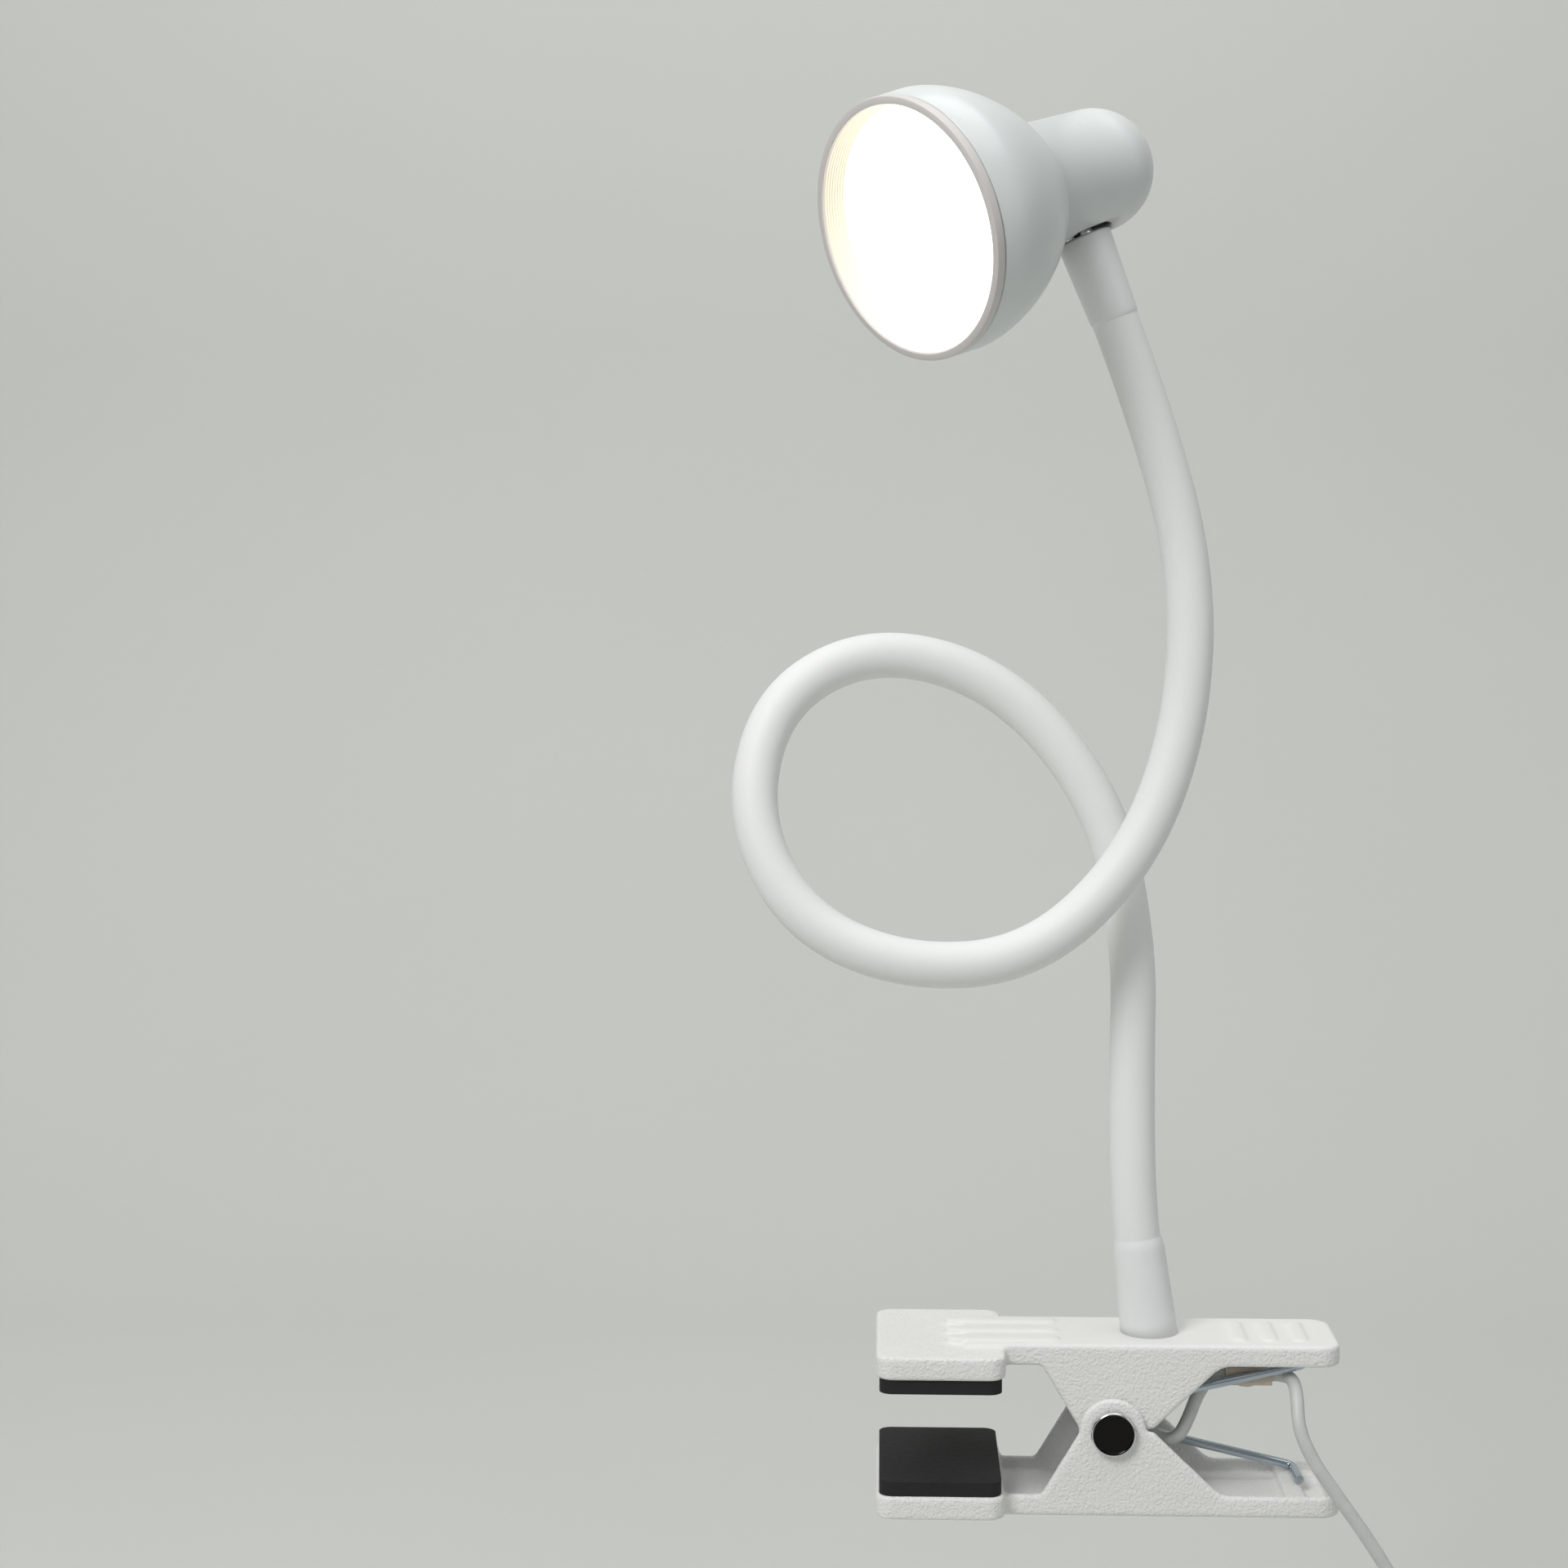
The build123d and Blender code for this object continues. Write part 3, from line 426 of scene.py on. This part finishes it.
pin_finish_painted_dark, bright = polished("pin_chrome")
apart = pin_finish_painted_dark.node("VectorMath", {"operation": "SUBTRACT"}, _0=pin_finish_painted_dark.place(), _1=tuple(pivot))
apart = pin_finish_painted_dark.node("VectorMath", {"operation": "MULTIPLY"}, _0=apart, _1=(1.0, 0.0, 1.0))
from_axis = pin_finish_painted_dark.node("VectorMath", {"operation": "LENGTH"}, outlet=1, _0=apart)
# Inside this radius the head's face is painted near black, a painted dark reflection in the chrome.
painted_reflection_radius, edge_fade = 0.0049, 8000.0
rim_outside_painted_reflection = ((from_axis - painted_reflection_radius) * edge_fade).clipped()
pin_finish_painted_dark.set("Base Color", pin_finish_painted_dark.blend(rim_outside_painted_reflection, rgb(0.018, 0.017, 0.017), bright))
cheek_face, head_clearance = 15.1, 0.3
pin_radius, pin_length, head_radius, head_round, head_thick = 2.45, 31.0, 5.4, 0.6, 1.8
round_from, round_to = head_thick - head_round, head_radius - head_round
disc = [(0.0, pin_radius), (0.0, head_radius)]
disc += rounded((round_from, head_radius), (head_thick, round_to), (round_from, round_to))
disc += [(1.72, 4.6), (1.55, 4.45), (1.6, 0.0)]
pin_profile = [(-pin_length, 0.0), (-pin_length, pin_radius)] + disc
to_head = to_metres((0, cheek_face + head_clearance, 0))
pin_head = turned("pin_head", pin_profile, pivot - to_head, (0, -1, 0))
far_cap = turned("far_cap", [(0.0, 0.0)] + disc[1:], pivot + to_head, (0, 1, 0))
pin_finish_painted_dark.put_on(pin_head, far_cap)
for piece, node in ((pin_head, "pivot_pin"), (far_cap, "pin_cap")):
    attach(piece, "clamp")
    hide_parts(node)


# ================= spring =================
# Zinc-plated steel wire wound round the pin. Its two legs push the handles apart, which closes the
# jaws, and each leg ends in a short cut hook that lies inside its handle.
spring_radius, wind_radius, wind_half, wind_turns = 1.1, 4.3, 9.3, 7.5
leg_slope, leg_reach, leg_hook = radians(13.5), 46.5, 11.0
leg_rise = (wind_radius + leg_reach * sin(leg_slope)) / cos(leg_slope)
near_leg = [(leg_reach, leg_hook - wind_half, leg_rise), (leg_reach, 3.2 - wind_half, leg_rise),
            (leg_reach - 0.3, -wind_half, leg_rise)]
near_leg += [(leg_reach - inward, -wind_half, leg_rise - inward * sin(leg_slope)) for inward in (4.0, 36.0)]
wind_steps = int(wind_turns * points_a_turn)
winding = []
for step in range(wind_steps + 1):
    turn = pi / 2 + tau * step / points_a_turn
    winding.append((wind_radius * cos(turn), -wind_half + 2 * wind_half * step / wind_steps,
                    wind_radius * sin(turn)))
far_leg = [(x, -y, -z) for x, y, z in reversed(near_leg)]
spring_points = [tuple(pivot * 1000 + Vector(point)) for point in near_leg + winding + far_leg]
spring_wire = settled(cable_line("spring_wire", spring_points, spring_radius))
zinc = Finish("spring_steel", Metallic=1.0, Roughness=0.2)
zinc_cloud = zinc.noise(160.0, 3.0)
zinc.set("Base Color", zinc.blend(zinc_cloud, rgb(0.40, 0.46, 0.52), rgb(0.50, 0.56, 0.62)))
zinc.set("Roughness", 0.14 + zinc_cloud * 0.1)
zinc.put_on(spring_wire)
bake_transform(spring_wire)
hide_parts("torsion_spring")


# ================= cable clip =================
# Small slightly clear beige nylon clip, moulded in one and screwed up under the upper handle. It
# grips the cable and takes the pull off it.
def softened(name, node, rounding, sharp=30.0):
    """A CAD solid with its sharp edges rounded off a little."""
    shape = bare_copy(node)
    flat_enough = radians(0.6)
    bmesh.ops.dissolve_limit(shape, angle_limit=flat_enough, verts=shape.verts, edges=shape.edges)
    sharp_edges = [edge for edge in shape.edges
                   if len(edge.link_faces) == 2 and edge.calc_face_angle(0.0) > radians(sharp)]
    bmesh.ops.bevel(shape, geom=sharp_edges, offset=rounding, affect="EDGES", segments=3, profile=0.5,
                    material=-1, clamp_overlap=True)
    return into_piece(name, shape)


nylon = Finish("clip_plastic", Roughness=0.35, Subsurface_Weight=0.25,
               Subsurface_Radius=(0.003, 0.002, 0.0012))
nylon_cloud = nylon.noise(300.0, 3.0)
nylon.set("Base Color", nylon.blend(nylon_cloud, rgb(0.50, 0.40, 0.31), rgb(0.66, 0.60, 0.52)))
nylon.set("Roughness", 0.28 + nylon_cloud * 0.14)
clip = softened("clip_body", "cable_clip", 0.0004)
nylon.put_on(clip)
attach(clip, "clamp")
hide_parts("cable_clip")


# ================= stud, washer, nut and screws =================
# Plated steel fastenings. The hollow stud that the neck stands on is held by a washer and a nut
# under the arm, and screws hold the cable clip and the parts inside the head.
steel = Finish("fastening_steel", Metallic=1.0, Roughness=0.3)
steel_cloud = steel.noise(600.0, 4.0)
steel.set("Base Color", steel.blend(steel_cloud, rgb(0.42, 0.41, 0.39), rgb(0.62, 0.61, 0.58)))
steel.set("Roughness", 0.22 + steel_cloud * 0.2)
steel.put_on(*(nodes[name] for name in ("base_stud", "base_washer", "base_nut", "clip_screw", "head_screws")))


# ================= gooseneck =================
# A wound steel hose inside a matte white silicone sleeve. It is bent by hand and keeps its shape.
# Six lengths of sleeve meet where the neck is straightest.
silicone = Finish("neck_silicone", Roughness=0.52, Specular_IOR_Level=0.38, Subsurface_Weight=0.08,
                  Subsurface_Radius=(0.004, 0.0035, 0.003))
silicone_cloud = silicone.noise(45.0, 5.0)
dust = silicone.noise(2400.0, 2.0)
silicone.set("Base Color", silicone.blend(silicone_cloud, rgb(0.80, 0.805, 0.79), rgb(0.84, 0.84, 0.825)))
silicone.set("Roughness", 0.46 + silicone_cloud * 0.1 + dust * 0.06)
silicone.bump(dust, 0.00003)

neck = [
    (50.6, 0.0, 13.2), (46.8, 0.5, 43.0), (46.4, 3.0, 74.0), (46.9, 5.0, 104.0), (39.7, 7.0, 139.0),
    (15.5, 10.0, 167.8), (-16.0, 9.0, 176.8), (-40.5, 0.0, 164.3), (-46.8, -9.0, 137.0),
    (-34.3, -15.0, 112.3), (-9.0, -18.0, 101.5), (21.0, -16.0, 103.5), (45.0, -11.0, 125.5),
    (57.2, -7.0, 156.0), (59.1, -5.0, 192.0), (49.7, -4.6, 228.5), (39.9, -4.6, 253.7),
]
sleeve_radius = 5.5
joint_runs = [1, 4, 6, 8, 10, 14]
seam_runs = [3, 5, 7, 9, 12]


def run_middle(run):
    """The middle of the straight run that starts at that point of the neck."""
    return (Vector(neck[run]) + Vector(neck[run + 1])) / 2


collar_length, sleeve_inside_foot, sleeve_inside_top = 20.6, 0.6, 1.2
rise = (Vector(neck[1]) - Vector(neck[0])).normalized()
sleeve_start = Vector(neck[0]) + rise * (collar_length - sleeve_inside_foot)
top_seat = (Vector(neck[-1]) - Vector(neck[-2])).normalized() * sleeve_inside_top
cuts = [sleeve_start] + [run_middle(run) for run in seam_runs] + [Vector(neck[-1]) + top_seat]
first_points = [1] + [run + 1 for run in seam_runs]
last_points = seam_runs + [len(neck) - 2]
sleeve_nodes = [("sleeve_1", "sleeve_2")] + [(f"sleeve_{k}",) for k in range(3, 8)]
for place, joint_run in enumerate(joint_runs):
    inside = [Vector(neck[k]) for k in range(first_points[place], last_points[place] + 1)]
    line = cable_line(f"sleeve_length_{place + 1}", [cuts[place]] + inside + [cuts[place + 1]], sleeve_radius)
    line.data.resolution_u, line.data.bevel_resolution = 10, 12
    length = settled(line)
    silicone.put_on(length)
    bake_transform(length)
    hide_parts(*sleeve_nodes[place])

# Strip-wound steel hose and its two thin wires, out of sight inside the sleeve.
wound = Finish("hose_steel", Metallic=1.0, Roughness=0.35)
wound_cloud = wound.noise(800.0, 3.0)
wound.set("Base Color", wound.blend(wound_cloud, rgb(0.36, 0.36, 0.37), rgb(0.55, 0.55, 0.56)))
wound.set("Roughness", 0.28 + wound_cloud * 0.2)
wound.put_on(*(nodes[f"hose_{k}"] for k in range(1, 8)))
insulation = Finish("wire_insulation", Roughness=0.45)
insulation.set("Base Color", insulation.blend(insulation.noise(400.0), rgb(0.42, 0.02, 0.02),
                                              rgb(0.60, 0.05, 0.04)))
insulation.put_on(*(nodes[f"feed_wires_{k}"] for k in range(1, 8)), nodes["head_wires"])


# ================= neck collars =================
# Tapered satin white plastic collars at the two ends of the neck, each moulded in one. The foot
# stands on the clamp's arm, the top carries the ball's stem, and the sleeve runs into both.
collar_plastic = Finish("collar_plastic", Roughness=0.36)
collar_cloud = collar_plastic.noise(90.0, 4.0)
collar_plastic.set("Base Color", collar_plastic.blend(collar_cloud, rgb(0.76, 0.775, 0.77),
                                                      rgb(0.80, 0.815, 0.81)))
collar_plastic.set("Roughness", 0.3 + collar_cloud * 0.12)
collar_plastic.bump(collar_plastic.noise(1500.0, 2.0), 0.00001)
lip = [(4.0, 6.25), (2.6, 6.14), (1.9, 6.02), (1.2, 5.8), (0.5, 5.56), (0.1, 5.44), (0.4, 5.0), (1.0, 4.2)]
foot_profile = [(-5.0, 4.2), (-5.0, 7.0), (0.0, 6.85)]
foot_profile += [(collar_length - below_end, out) for below_end, out in lip]
base_collar = turned("foot_collar", foot_profile, to_metres(neck[0]), rise)
trim = bmesh.new()
trim.from_mesh(base_collar.data)
arm_top = 0.010
bmesh.ops.bisect_plane(trim, geom=trim.verts[:] + trim.edges[:] + trim.faces[:], dist=1e-6,
                       plane_co=(0, 0, arm_top), plane_no=(0, 0, 1), clear_inner=True)
bmesh.ops.holes_fill(trim, edges=[edge for edge in trim.edges if edge.is_boundary])
bmesh.ops.recalc_face_normals(trim, faces=trim.faces)
trim.to_mesh(base_collar.data)
trim.free()
collar_plastic.put_on(base_collar)
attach(base_collar, "clamp")
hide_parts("base_collar")

ball = to_metres((27.2, -4.6, 285.8))
down = (to_metres(neck[-1]) - ball).normalized()
collar_end = (to_metres(neck[-1]) - ball).length * 1000
head_profile = [(13.9, 3.6)] + rounded((13.9, 5.8), (14.6, 6.5), (14.6, 5.8))
head_profile += [(collar_end - 2.0, 5.86), (collar_end - 1.2, 5.83), (collar_end - 0.6, 5.76),
                 (collar_end - 0.1, 5.62), (collar_end + 0.1, 5.5), (collar_end + 0.1, 4.6)]
head_profile += [(24.5, 4.5), (24.5, 3.6)]
head_collar = turned("top_collar", head_profile, ball, down)
collar_plastic.put_on(head_collar)
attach(head_collar, "neck_7")
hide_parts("head_collar")


# ================= lamp head =================
# Bell, neck and domed end in one ABS moulding, in a satin gloss white. A slot cut through the
# underside of the neck lets the ball's stem in, and gives it room to tilt.
back = Vector((0.736, 0.607, 0.298))
across = back.cross(down).normalized()
back = down.cross(across).normalized()
face_to_ball = 0.050
face_middle = ball - back * face_to_ball
rim, bell_radius, bell_start, bell_length, bell_power = 30.0, 30.2, 9.7, 34.9, 1.6
wall, neck_end, neck_round, bezel_depth = 1.8, 60.0, 14.5, 2.5


def bell(inset, steps=26, sweep_to=54.5):
    """Side view of the bell from its widest place to the neck."""
    points = []
    for step in range(steps + 1):
        turn = radians(sweep_to * step / steps)
        points.append((bell_start + (bell_length - inset) * sin(turn) ** (2 / bell_power),
                       (bell_radius - inset) * cos(turn) ** (2 / bell_power)))
    return points


def dome(inset, steps=18):
    """Side view of the round end of the neck."""
    radius = neck_round - inset
    return [(neck_end + radius * sin(step / steps * pi / 2), radius * cos(step / steps * pi / 2))
            for step in range(steps + 1)]


seam, seam_depth = 0.32, 1.1
edge = bezel_depth + seam / 2
outside = [(edge, rim - seam_depth), (edge, rim - 0.2), (edge + 0.2, rim)] + bell(0.0) + dome(0.0)
inside_form = dome(wall)[::-1] + bell(wall)[::-1]
inside_form += [(bezel_depth, rim - wall), (bezel_depth, rim - seam_depth)]
shell_profile = inside_form + outside
shell = turned("head_moulding", shell_profile[::-1], face_middle, back, steps=128, sharp=50.0)
slot_shape = bmesh.new()
slot_travel, slot_radius, slot_start, slot_depth, slot_steps = 5.2, 7.3, 8.0, 0.012, 32
ring = []
for step in range(slot_steps):
    turn = step / slot_steps * tau
    out = Vector((cos(turn), sin(turn))) * slot_radius
    out.x += slot_travel / 2 * (1 if out.x > 0 else -1)
    from_ball = down * slot_start + back * (out.x - slot_travel / 2) + across * out.y
    ring.append(slot_shape.verts.new(ball + from_ball / 1000))
slot_face = slot_shape.faces.new(ring)
deep = bmesh.ops.extrude_face_region(slot_shape, geom=[slot_face])
bmesh.ops.translate(slot_shape, verts=fresh_verts(deep), vec=down * slot_depth)
bmesh.ops.recalc_face_normals(slot_shape, faces=slot_shape.faces)
slot_cutter = into_piece("slot_cutter", slot_shape)
opening = shell.modifiers.new("slot", "BOOLEAN")
opening.object, opening.operation, opening.solver = slot_cutter, "DIFFERENCE", "EXACT"
shell = settled(shell)
bpy.data.objects.remove(slot_cutter)

gloss_white = Finish("head_plastic", Roughness=0.3, Coat_Weight=0.15, Coat_Roughness=0.12)
flow = gloss_white.noise(35.0, 3.0)
gloss_white.set("Base Color", gloss_white.blend(flow, rgb(0.66, 0.69, 0.69), rgb(0.685, 0.715, 0.718)))
gloss_white.set("Roughness", 0.24 + flow * 0.1)
gloss_white.bump(gloss_white.noise(220.0, 2.0), 0.000006)
gloss_white.put_on(shell)
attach(shell, "head")
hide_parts("head_shell")


# ================= bezel and diffuser =================
# A plastic ring, pushed into the head's mouth, with a fine-ribbed cream inner wall. It holds the
# milky plastic disc that the LEDs light from behind.
bezel_back, bezel_end, skirt = bezel_depth - seam / 2, 6.0, 28.15
bezel_profile = [(bezel_end, 27.2), (0.9, 28.0), (0.25, 28.15), (0.0, 28.4), (0.0, 29.4), (0.2, 29.85),
                 (0.7, 30.0), (bezel_back - 0.2, rim), (bezel_back, rim - 0.2),
                 (bezel_back, rim - seam_depth), (bezel_depth, rim - seam_depth), (bezel_depth, skirt),
                 (bezel_end, skirt)]
bezel = turned("bezel_rim", bezel_profile, face_middle, back, steps=160)
frame_plastic = Finish("bezel_plastic", Roughness=0.4)
bezel_cloud = frame_plastic.noise(80.0, 3.0)
front_grey = frame_plastic.blend(bezel_cloud, rgb(0.60, 0.565, 0.55), rgb(0.66, 0.625, 0.61))
into_head = frame_plastic.node("VectorMath", {"operation": "DOT_PRODUCT"}, outlet=1,
                               _0=frame_plastic.place(), _1=tuple(back))
into_head = into_head - back.dot(face_middle)
wall_from, wall_within = 0.0006, 0.0289
inner_wall = ((into_head - wall_from) * 2500.0).clipped()
out_of_axis = frame_plastic.node("VectorMath", {"operation": "DISTANCE"}, outlet=1,
                                 _0=frame_plastic.place(), _1=tuple(face_middle))
inner_wall = inner_wall * ((wall_within - out_of_axis) * 3000.0).clipped()
frame_plastic.set("Base Color", frame_plastic.blend(inner_wall, front_grey, rgb(0.88, 0.82, 0.66)))
frame_plastic.set("Roughness", 0.34 + bezel_cloud * 0.12)
ribs = frame_plastic.node("Math", {"operation": "SINE"}, _0=into_head * 9000.0)
frame_plastic.bump(ribs * inner_wall, 0.00003)
frame_plastic.put_on(bezel)
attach(bezel, "head")
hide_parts("bezel_ring")

disc_profile = [(6.05, 0.0), (6.02, 14.0), (6.0, 27.9), (7.6, 27.9), (7.6, 0.0)]
disc_shape = turned("lit_disc", disc_profile, face_middle, back, 128)
milky = Finish("diffuser_plastic", Roughness=0.6, Emission_Strength=1.5)
milk_cloud = milky.noise(50.0, 2.0)
milky.set("Base Color", milky.blend(milk_cloud, rgb(0.88, 0.87, 0.84), rgb(0.92, 0.91, 0.88)))
depth = milky.node("VectorMath", {"operation": "DOT_PRODUCT"}, outlet=1, _0=milky.place(),
                   _1=tuple(back))
glows_to = 0.0068
from_front = ((back.dot(face_middle) + glows_to) - depth) * 4000.0
glow = milky.blend(milk_cloud, rgb(1.0, 0.975, 0.93), rgb(1.0, 0.985, 0.95))
milky.set("Emission Color", milky.blend(from_front.clipped(), rgb(0.0, 0.0, 0.0), glow))
milky.put_on(disc_shape)
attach(disc_shape, "head")
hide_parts("diffuser")


# ================= head insides =================
# Moulded reflector, LED board and aluminium carrier, stacked behind the diffuser, and the two
# halves of the plastic ball socket that are screwed together round the ball.
def plain_finish(name, low, high, rough, metal=0.0):
    """A slightly cloudy finish between two colours, for a small or hidden piece."""
    made = Finish(name, Metallic=metal)
    cloud = made.noise(300.0, 3.0)
    made.set("Base Color", made.blend(cloud, rgb(*low), rgb(*high)))
    made.set("Roughness", rough + cloud * 0.15)
    return made


plain_finish("reflector_plastic", (0.80, 0.76, 0.62), (0.86, 0.83, 0.70), 0.25).put_on(nodes["reflector"])
plain_finish("board_white", (0.78, 0.79, 0.77), (0.85, 0.86, 0.84), 0.35).put_on(nodes["led_board"])
plain_finish("led_phosphor", (0.85, 0.62, 0.12), (0.95, 0.75, 0.25), 0.4).put_on(nodes["led_chips"])
plain_finish("carrier_metal", (0.55, 0.55, 0.56), (0.68, 0.68, 0.69), 0.25, 1.0).put_on(nodes["led_carrier"])
socket_plastic = plain_finish("socket_plastic", (0.58, 0.58, 0.57), (0.66, 0.66, 0.65), 0.4)
socket_plastic.put_on(nodes["socket_front"], nodes["socket_rear"])


# ================= ball stem =================
# Polished steel ball on a short hollow stem, turned in one, with the wires through its middle. The
# head tilts on the ball, and the stem turns in the top collar.
ball_radius, stem_bore, stem_radius, stem_end = 7.0, 1.75, 3.0, 24.2
thick_radius, thick_end = 3.4, 11.9
ball_from, ball_sweep, ball_steps = 24.0, 126.9, 24
ball_profile = []
for step in range(ball_steps + 1):
    turn = radians(ball_from + ball_sweep * step / ball_steps)
    ball_profile.append((-ball_radius * cos(turn), ball_radius * sin(turn)))
stem_profile = [(ball_profile[0][0], stem_bore)] + ball_profile[1:]
stem_profile += [(thick_end, thick_radius), (thick_end, stem_radius)]
stem_profile += [(stem_end, stem_radius), (stem_end, stem_bore)]
ball_stem = turned("ball_and_stem", stem_profile, ball, down, 64)
stem_chrome, stem_bright = polished("stem_metal")
stem_chrome.set("Base Color", stem_bright)
stem_chrome.put_on(ball_stem)
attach(ball_stem, "stem")
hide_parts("ball_stem")


# ================= switch and plug =================
# An inline switch, of two moulded case halves round a small board, with a round push button. At the
# cable's end is a USB plug: a steel shell round a tongue, with a soft grip moulded on it.
case = plain_finish("switch_plastic", (0.74, 0.74, 0.73), (0.80, 0.80, 0.79), 0.4)
plug_rubber = plain_finish("plug_rubber", (0.70, 0.70, 0.69), (0.77, 0.77, 0.76), 0.42)
button_gloss = plain_finish("button_plastic", (0.60, 0.60, 0.60), (0.66, 0.66, 0.66), 0.2)
tie_black = plain_finish("tie_plastic", (0.015, 0.015, 0.015), (0.04, 0.04, 0.04), 0.5)
plug_steel = plain_finish("plug_steel", (0.50, 0.50, 0.51), (0.68, 0.68, 0.69), 0.18, 1.0)
for name, node, rounding, made, body, slot_name in (
    ("switch_rear", "switch_base", 0.0009, case, "clamp", "switch_plastic"),
    ("switch_front", "switch_cover", 0.0009, case, "clamp", "switch_plastic"),
    ("push_button", "switch_button", 0.0004, button_gloss, "switch_button", "button_plastic"),
    ("coil_band", "coil_tie", 0.0003, tie_black, "clamp", "tie_plastic"),
    ("plug_grip", "usb_overmold", 0.0008, plug_rubber, "clamp", "plug_rubber"),
):
    piece = softened(name, node, rounding)
    made.put_on(piece)
    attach(piece, body)
    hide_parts(node)
plug_steel.put_on(nodes["usb_shell"])
case.put_on(nodes["usb_tongue"])
plain_finish("board_green", (0.03, 0.16, 0.07), (0.05, 0.22, 0.10), 0.35).put_on(nodes["switch_board"])
